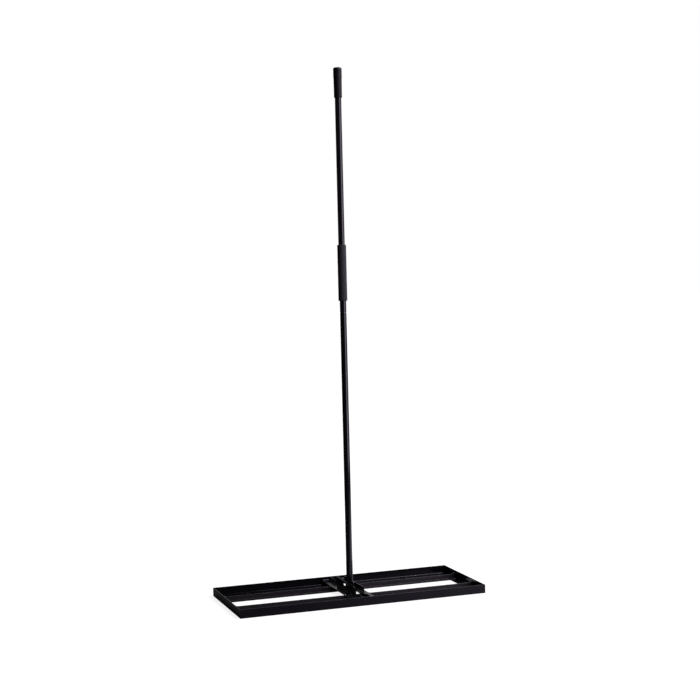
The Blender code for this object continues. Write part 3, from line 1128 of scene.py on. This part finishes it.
@dataclass
class Pivot:
    """Bolt, lock nut, washers, spacers and sleeve of the pole's hinge."""

    finishes: Finishes
    head: Head
    pole: Pole
    shank: float = 0.004
    flats: float = 0.013
    head_height: float = 0.0053
    head_chamfer: float = 0.0011
    nut_height: float = 0.0080
    nut_chamfer: float = 0.0009
    collar_height: float = 0.0020
    collar_radius: float = 0.0054
    collar_edge: float = 0.0008
    washer_radius: float = 0.008
    washer_thickness: float = 0.0016
    spacer_radius: float = 0.011
    sleeve_radius: float = 0.006
    tail: float = 0.0025
    thread_pitch: float = 0.00125
    thread_depth: float = 0.00045
    thread_short: float = 0.0008
    core_drop: float = 0.0004
    run_in: float = 0.0005
    point: float = 0.0007
    nut_gap: float = 0.0001
    form_inset: float = 0.0003
    form_past: float = 0.0005
    ring_edge: float = 0.0003
    spacer_edge: float = 0.0002
    lap: float = 0.001
    past: float = 0.01
    sharp: float = 30.0

    def build(self) -> None:
        """Builds and dresses the hardware."""
        head, seam, bore = self.head, self.head.seam, self.shank + self.head.seam
        # The washers, spacers and sleeve take the darkened zinc, which paints shade on them.
        steel, zinc = self.finishes.bolt, self.finishes.ring
        lay = along_x((head.bracket_middle, 0.0, head.pivot_height))
        ear, reach = head.half_gap + head.wall, head.half_gap - seam
        washer_out = ear + seam + self.washer_thickness
        pieces = [
            (self.bolt(washer_out + seam, washer_out + seam), "pivot_bolt", steel),
            (self.nut(washer_out + seam), "pivot_lock_nut", steel),
        ]
        for name, side in (("left", -1), ("right", 1)):
            ends = (side * (ear + seam), side * washer_out)
            plate = self.ring(
                f"{name}_washer_plate", bore, self.washer_radius, ends, self.ring_edge
            )
            ends = (side * reach, side * (self.pole.stub_radius + seam))
            inner, outer = self.sleeve_radius + seam, self.spacer_radius
            spacer = self.ring(f"{name}_spacer_ring", inner, outer, ends, self.spacer_edge)
            pieces += [
                (plate, f"{name}_bolt_washer", zinc), (spacer, f"{name}_pivot_spacer", zinc)
            ]
        for piece, node, finish in pieces:
            dressed(placed(piece, lay), finish, Body.HEAD, Slot.ZINC, node)
        ends = (-reach, reach)
        sleeve = self.ring("sleeve_tube", bore, self.sleeve_radius, ends, self.ring_edge)
        dressed(placed(sleeve, lay), zinc, Body.POLE, Slot.ZINC, "pivot_sleeve")

    def ring(self, name: str, bore: float, radius: float, ends: Span, edge: float) -> Piece:
        """Turns a ring about Z between two ends in either order."""
        outline = tube_outline(bore, radius, min(ends), max(ends), edge)
        return turned(name, outline, True, SMALL_ROUND)

    def chamfer_form(self, low: float, high: float, slope: float, both: bool) -> Piece:
        """Round form that trims the corners of a hexagon.

        Args:
            low: Its lower end.
            high: Its upper end.
            slope: How far down its edge the trim reaches.
            both: Whether the lower end is trimmed too.

        Returns:
            The form about Z.
        """
        corner = self.flats / 2 / math.cos(math.pi / 6)
        inner, wide = self.flats / 2 - self.form_inset, corner + self.form_past
        drop = slope * (wide - inner) / (corner - inner)
        foot = [(inner, low), (wide, low + drop)] if both else [(wide, low)]
        outline = [(0.0, low), *foot, (wide, high - drop), (inner, high), (0.0, high)]
        return turned("cutter", outline, False, SMALL_ROUND)

    def bolt(self, head_face: float, nut_foot: float) -> Piece:
        """Hexagon bolt with its head to -X, washer face and threaded tail.

        Args:
            head_face: Distance of the head's bearing face from the middle.
            nut_foot: Where the nut starts on the other side.

        Returns:
            The bolt about Z.
        """
        low, high = -head_face - self.head_height, -head_face
        form = self.chamfer_form(-high, -low, self.head_chamfer, False)
        placed(form, Matrix.Rotation(math.pi, 4, "X"))
        bolt = prism("pivot_bolt_steel", 6, self.flats, low, high)
        cut(bolt, form, operation="INTERSECT")
        end = nut_foot + self.nut_height + self.tail
        shank, core, start = self.shank, self.shank - self.core_drop, high - self.lap
        outline = [
            (0.0, start), (shank, start), (shank, nut_foot), (core, nut_foot + self.run_in),
            (core, end - self.point), (core - self.point, end), (0.0, end),
        ]
        cut(bolt, turned("shank", outline, False, HOLE_ROUND), operation="UNION")
        reach = self.nut_height + self.tail - self.thread_short
        threaded(
            bolt, self.finishes.bolt, nut_foot, Radius=core, Reach=reach, Pitch=self.thread_pitch,
            Depth=self.thread_depth,
        )
        return smoothed(bolt, self.sharp)

    def nut(self, foot: float) -> Piece:
        """Lock nut with its collar to +X.

        Args:
            foot: Its bearing face.

        Returns:
            The nut about Z.
        """
        top, edge, radius = foot + self.nut_height, self.collar_edge, self.collar_radius
        shoulder = top - self.collar_height
        nut = prism("pivot_lock_nut_steel", 6, self.flats, foot, shoulder)
        form = self.chamfer_form(foot, shoulder, self.nut_chamfer, True)
        cut(nut, form, operation="INTERSECT")
        collar = [(0.0, shoulder - self.lap), (radius, shoulder - self.lap)]
        collar += [*arc((radius - edge, top - edge), edge, 0, 90, 5), (0.0, top)]
        cut(nut, turned("collar", collar, False, SMALL_ROUND), operation="UNION")
        width = 2 * (self.shank + self.nut_gap)
        cut(nut, prism("bore", HOLE_ROUND, width, foot - self.past, top + self.past))
        return smoothed(nut, self.sharp)


# Pole.


@dataclass
class Pole:
    """Screw-together pole: stub, two tubes, their screwed joints and the grips."""

    finishes: Finishes
    head: Head
    stub_radius: float = 0.0131
    stub_wall: float = 0.0020
    stub_below: float = 0.015
    stub_above: float = 0.0970
    tube_radius: float = 0.0127
    tube_wall: float = 0.0012
    groove: float = 0.0014
    lower_length: float = 0.982
    upper_length: float = 0.946
    edge: float = 0.0009
    sleeve_hole: float = 0.0063
    socket_length: float = 0.034
    socket_edge: float = 0.0003
    stud_radius: float = 0.008
    stud_drop: float = 0.0006
    stud_reach: float = 0.028
    stud_chamfer: float = 0.0015
    collar_inset: float = 0.0014
    plug_length: float = 0.030
    thread_pitch: float = 0.003
    thread_depth: float = 0.0008
    thread_sink: float = 0.0002
    thread_start: float = 0.002
    thread_short: float = 0.004
    foam_radius: float = 0.0175
    foam_length: float = 0.219
    foam_above: float = 0.0445
    foam_rim: float = 0.0022
    foam_swell: float = 0.00012
    foam_waves: float = 9.0
    foam_steps: int = 40
    grip_length: float = 0.117
    grip_end_wall: float = 0.0045
    grip_head: float = 0.01675
    grip_neck: float = 0.0161
    grip_mouth: float = 0.0156
    grip_shoulder: float = 0.039
    grip_drops: Point = (0.0050, 0.0035, 0.0012)
    grip_ease: float = 0.0001
    grip_round: float = 0.006
    grip_crown: float = 0.001
    grip_dome: Path = ((0.009, 0.0003), (0.0045, 0.0001), (0.0, 0.0))
    drill_reach: float = 0.05

    def __post_init__(self) -> None:
        """Takes the head's seam and works out the sections' heights above the pivot."""
        self.seam = self.head.seam
        self.lower_foot = self.stub_above + self.groove
        self.lower_top = self.lower_foot + self.lower_length
        self.upper_foot = self.lower_top + self.groove
        self.upper_top = self.upper_foot + self.upper_length

    def build(self) -> None:
        """Builds and dresses the pole from its foot up."""
        self.build_stub()
        self.build_tube("lower_tube", self.lower_foot, self.lower_top)
        self.build_tube("upper_tube", self.upper_foot, self.upper_top)
        self.build_joint("lower", self.stub_above, self.stub_radius - self.stub_wall)
        self.build_joint("upper", self.lower_top, self.tube_radius - self.tube_wall)
        self.build_foam()
        self.build_end_grip()

    def keep(self, piece: Piece, finish: Material, slot: Slot, node: str) -> Piece:
        """Moves a piece made about the pivot to its place on the rake and dresses it."""
        pivot = Matrix.Translation((self.head.bracket_middle, 0.0, self.head.pivot_height))
        return dressed(placed(piece, pivot), finish, Body.POLE, slot, node)

    def build_stub(self) -> None:
        """Foot of the pole, drilled across for the sleeve."""
        inner, outer = self.stub_radius - self.stub_wall, self.stub_radius
        outline = tube_outline(inner, outer, -self.stub_below, self.stub_above, self.edge)
        piece = turned("pole_stub_steel", outline, True)
        reach = self.drill_reach
        drill = prism("cutter", HOLE_ROUND, 2 * self.sleeve_hole, -reach, reach)
        smoothed(cut(piece, placed(drill, along_x((0, 0, 0)))))
        self.keep(piece, self.finishes.tube, Slot.POLE_COAT, "pole_stub")

    def build_tube(self, node: str, foot: float, top: float) -> None:
        """One long section of the pole.

        Args:
            node: CAD node that it stands for.
            foot: Its lower end above the pivot.
            top: Its upper end above the pivot.
        """
        inner = self.tube_radius - self.tube_wall
        outline = tube_outline(inner, self.tube_radius, foot, top, self.edge)
        piece = turned(f"{node}_steel", outline, True)
        self.keep(piece, self.finishes.tube, Slot.POLE_COAT, node)

    def build_joint(self, name: str, height: float, socket_bore: float) -> None:
        """Socket and threaded stud of a screwed joint.

        Args:
            name: Which joint.
            height: Height of the joint above the pivot.
            socket_bore: Bore of the section that holds the socket.
        """
        # The socket and stud take the near black zinc, which paints shade in the joint's groove.
        zinc, seam = self.finishes.joint, self.seam
        bore, outer = self.stud_radius + seam, socket_bore - seam
        outline = tube_outline(bore, outer, height - self.socket_length, height, self.socket_edge)
        socket = turned(f"{name}_joint_socket_steel", outline, True, SMALL_ROUND)
        self.keep(socket, zinc, Slot.ZINC, f"{name}_joint_socket")
        stud, collar = self.stud_radius - self.stud_drop, self.tube_radius - self.collar_inset
        plug = self.tube_radius - self.tube_wall - seam
        foot, top = height + seam, height + self.groove - seam
        tip, end = height - self.stud_reach, top + self.plug_length
        outline = [
            (0.0, tip), (stud - self.stud_chamfer, tip), (stud, tip + self.stud_chamfer),
            (stud, foot), (collar, foot), (collar, top), (plug, top), (plug, end), (0.0, end),
        ]
        piece = turned(f"{name}_joint_stud_steel", outline, False, SMALL_ROUND)
        reach, core = self.stud_reach - self.thread_short, stud - self.thread_sink
        threaded(
            piece, zinc, tip + self.thread_start, Radius=core, Reach=reach,
            Pitch=self.thread_pitch, Depth=self.thread_depth,
        )
        self.keep(piece, zinc, Slot.ZINC, f"{name}_joint_stud")

    def build_foam(self) -> None:
        """Foam sleeve, its rims drawn in a little where it was cut."""
        foot = self.upper_foot + self.foam_above
        top = foot + self.foam_length
        inner, outer, rim = self.tube_radius + self.seam, self.foam_radius, self.foam_rim
        outline = [(inner, foot), *arc((outer - rim, foot + rim), rim, 270, 360, 8)]
        for step in range(1, self.foam_steps):
            share = step / self.foam_steps
            wave = math.sin(self.foam_waves * share * math.pi) * math.sin(share * math.pi)
            radius = outer - self.foam_swell + self.foam_swell * wave
            outline.append((radius, foot + rim + (self.foam_length - 2 * rim) * share))
        outline += [*arc((outer - rim, top - rim), rim, 0, 90, 8), (inner, top)]
        piece = turned("foam_sleeve", outline, True)
        self.keep(piece, self.finishes.foam, Slot.FOAM, "foam_grip")

    def build_end_grip(self) -> None:
        """Rubber cap over the pole's top, thicker in its upper third."""
        bore, floor = self.tube_radius + self.seam, self.upper_top + self.seam
        top = floor + self.grip_end_wall
        foot, shoulder = top - self.grip_length, top - self.grip_shoulder
        head, neck, mouth, edge = self.grip_head, self.grip_neck, self.grip_mouth, self.edge
        low, middle, high = (shoulder - drop for drop in self.grip_drops)
        corner = (head - self.grip_round, top - self.grip_crown - self.grip_round)
        outline = [
            (0.0, floor), (bore, floor), (bore, foot),
            *arc((mouth - edge, foot + edge), edge, 270, 360, 5),
            (neck, low), (neck + self.grip_ease, middle),
            (head - self.grip_ease, high), (head, shoulder),
            *arc(corner, self.grip_round, 0, 80, 10),
            *((radius, top - drop) for radius, drop in self.grip_dome),
        ]
        piece = turned("end_grip_cap", outline, False, sharp=SOFT_ANGLE)
        self.keep(piece, self.finishes.rubber, Slot.GRIP_RUBBER, "end_grip")


# Studio.


@dataclass(frozen=True)
class Camera:
    """Camera at the photograph's angle."""

    place: Point = (-1.9216, -5.6081, 1.3565)
    heading: float = CAMERA_HEADING
    dip: float = 0.06477
    roll: float = -0.02402
    focal_pixels: float = 1513.18
    axis_right: float = 0.8

    def build(self) -> None:
        """Makes the camera and sets it as the scene's own."""
        east, north = math.cos(self.heading), math.sin(self.heading)
        level = math.cos(self.dip)
        ahead = Vector((north * level, east * level, -math.sin(self.dip)))
        right = Vector((east, -north, 0.0))
        up = right.cross(ahead)
        side = right * math.cos(self.roll) + up * math.sin(self.roll)
        head = -right * math.sin(self.roll) + up * math.cos(self.roll)
        data = bpy.data.cameras.new("camera")
        data.lens = self.focal_pixels / PICTURE_SIDE * SENSOR_WIDTH
        data.sensor_width = SENSOR_WIDTH
        data.shift_x = -self.axis_right / PICTURE_SIDE
        camera = shown("camera", data)
        columns = Matrix((side, head, -ahead)).transposed()
        camera.matrix_world = Matrix.Translation(self.place) @ columns.to_4x4()
        bpy.context.scene.camera = camera


@dataclass(frozen=True)
class Lamp:
    """Soft rectangular studio lamp."""

    name: str
    place: Point
    aim: Point
    width: float
    height: float
    watts: float
    mirrored: bool = True
    fan: float = 180.0

    def build(self) -> None:
        """Hangs the lamp and turns it to its aim."""
        data = bpy.data.lights.new(self.name, "AREA")
        data.shape = "RECTANGLE"
        data.size, data.size_y = self.width, self.height
        data.energy = self.watts
        data.spread = math.radians(self.fan)
        lamp = shown(self.name, data)
        lamp.visible_glossy = self.mirrored
        turn = (Vector(self.aim) - Vector(self.place)).to_track_quat("-Z", "Y")
        lamp.matrix_world = Matrix.Translation(self.place) @ turn.to_matrix().to_4x4()


class StudioNodes(Nodes):
    """Node tree of the world or the floor."""

    def against(self, operation: str, space: str, other: Point) -> Socket:
        """Dot product or distance of the texture coordinates and a fixed vector."""
        values = {0: self.node("ShaderNodeTexCoord").outputs[space], 1: other}
        return self.node("ShaderNodeVectorMath", values, operation=operation).outputs["Value"]

    def facing(self, way: Point, rise: Span, low: float, high: float) -> Socket:
        """Brightness that rises towards a direction, between two cosines to it."""
        towards = self.against("DOT_PRODUCT", "Generated", way)
        return self.ramp(towards, rise, low, high, "SMOOTHSTEP")

    def ringed(self, middle: Point, ring: Span, near: float, far: float) -> Socket:
        """Value that changes over a ring round a place on the floor."""
        away = self.against("DISTANCE", "Object", middle)
        return self.ramp(away, ring, near, far, "SMOOTHSTEP")

    def seen(self) -> Socket:
        """1 for the camera's own rays and for those that pass through clear pieces."""
        path = self.node("ShaderNodeLightPath").outputs
        return self.maths("MAXIMUM", path["Is Camera Ray"], path["Is Transmission Ray"])

    def mirrored(self) -> Socket:
        """1 for rays that a shiny face has mirrored."""
        return self.node("ShaderNodeLightPath").outputs["Is Glossy Ray"]


@dataclass(frozen=True)
class Studio:
    """Pale floor with a painted pool of light, white backdrop and soft lamps."""

    ambient_left: float = 0.20
    ambient_right: float = 2.60
    ambient_rise: Span = (0.1, 0.95)
    dark_side: float = 0.14
    left_side: float = 0.12
    left_rise: Span = (0.3, 0.9)
    right_side: float = 0.66
    right_rise: Span = (0.1, 0.8)
    ahead_rise: Span = (0.93, 0.995)
    floor_side: float = 60.0
    floor_drop: float = 0.0002
    floor_tone: float = 0.72
    floor_glow: float = 0.86
    floor_share: float = 0.09
    floor_mirror: float = 0.40
    shadow_ring: Span = (0.70, 1.60)
    # Painted pool of light on the floor: its middle off to the right front, and the ring over which
    # the paint falls to a dim edge.
    lit_pool_middle: Point = (1.20, -0.20, 0.0)
    lit_pool_ring: Span = (0.50, 1.60)
    lit_pool_edge: float = 0.05
    lamps: tuple[Lamp, ...] = (
        Lamp("right_softbox", (2.15, -2.37, 1.46), (0.0, 0.0, 1.3), 2.4, 2.85, 126.0),
        Lamp("top_softbox", (1.4, -0.7, 3.2), (0.4, 0.0, 0.0), 1.7, 0.9, 250.0),
        Lamp("head_fill", (1.2, -4.0, 1.0), (-0.1, 0.0, -0.1), 0.8, 0.8, 4.0, False, 40.0),
    )

    def build(self) -> None:
        """Makes the world, the floor, the lamps and the view."""
        self.build_world()
        self.build_floor()
        for lamp in self.lamps:
            lamp.build()
        bpy.context.scene.view_settings.view_transform = "Standard"

    def build_world(self) -> None:
        """White to the camera and in mirrored rays to the backdrop, dimmer round the studio."""
        world = bpy.data.worlds.new("studio")
        bpy.context.scene.world = world
        world.use_nodes = True
        nodes = StudioNodes(world.node_tree)
        east, north = math.cos(CAMERA_HEADING), math.sin(CAMERA_HEADING)
        ahead, right, left = (north, east, 0.0), (east, -north, 0.0), (-east, -north, 0.0)
        ambient = nodes.facing(right, self.ambient_rise, self.ambient_left, self.ambient_right)
        room = nodes.facing(ahead, self.ahead_rise, self.dark_side, 1.0)
        for way, rise, full in (
            (right, self.right_rise, self.right_side), (left, self.left_rise, self.left_side)
        ):
            room = nodes.maths("MAXIMUM", room, nodes.facing(way, rise, self.dark_side, full))
        unseen = nodes.mix(nodes.mirrored(), ambient, room)
        light = nodes.tree.nodes["Background"].inputs
        nodes.fill(light["Strength"], nodes.mix(nodes.seen(), unseen, 1.0))
        nodes.fill(light["Color"], (1.0, 1.0, 1.0, 1.0))

    def build_floor(self) -> None:
        """Pale floor that is white to the camera and keeps a soft shadow, its paint brightest in a
        painted pool of light off to the right front.
        """
        bm = bmesh.new()
        bmesh.ops.create_grid(bm, x_segments=4, y_segments=4, size=self.floor_side / 2)
        floor = placed(closed(bm, "floor"), Matrix.Translation((0, 0, -self.floor_drop)))
        material = bpy.data.materials.new("floor_paint_with_painted_light_pool")
        material.use_nodes = True
        nodes = StudioNodes(material.node_tree)
        nodes.tree.nodes.clear()
        # Painted pool of light: full paint tone near its middle and dim beyond its ring, seen by
        # diffuse and mirrored rays.
        sweep = nodes.ringed(self.lit_pool_middle, self.lit_pool_ring, 1.0, self.lit_pool_edge)
        tone = {0: (self.floor_tone,) * 3, "Scale": sweep}
        pale = nodes.node("ShaderNodeVectorMath", tone, operation="SCALE")
        paint = nodes.node("ShaderNodeBsdfDiffuse", {"Color": pale})
        thin = nodes.node("ShaderNodeBsdfDiffuse", {"Color": (*(self.floor_share,) * 3, 1.0)})
        strength = nodes.ringed((0.0, 0.0, 0.0), self.shadow_ring, self.floor_glow, 1.0)
        glow = nodes.node("ShaderNodeEmission", {"Strength": strength})
        white = nodes.node("ShaderNodeAddShader", {0: thin, 1: glow})
        near = nodes.maths("MULTIPLY", sweep, self.floor_mirror)
        mirrored = nodes.maths("MULTIPLY", nodes.mirrored(), near)
        share = nodes.maths("MAXIMUM", nodes.seen(), mirrored)
        mixed = nodes.node("ShaderNodeMixShader", {0: share, 1: paint, 2: white})
        nodes.node("ShaderNodeOutputMaterial", {"Surface": mixed})
        floor.data.materials.append(material)


def main() -> None:
    """Loads the frame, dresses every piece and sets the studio."""
    logging.basicConfig(level=logging.INFO, format="%(name)s %(message)s")
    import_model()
    finishes = Finishes()
    head = Head(finishes)
    head.build()
    Welds(finishes, head).build()
    pole = Pole(finishes, head)
    Pivot(finishes, head, pole).build()
    pole.build()
    Studio().build()
    Camera().build()


if __name__ == "__main__":
    main()
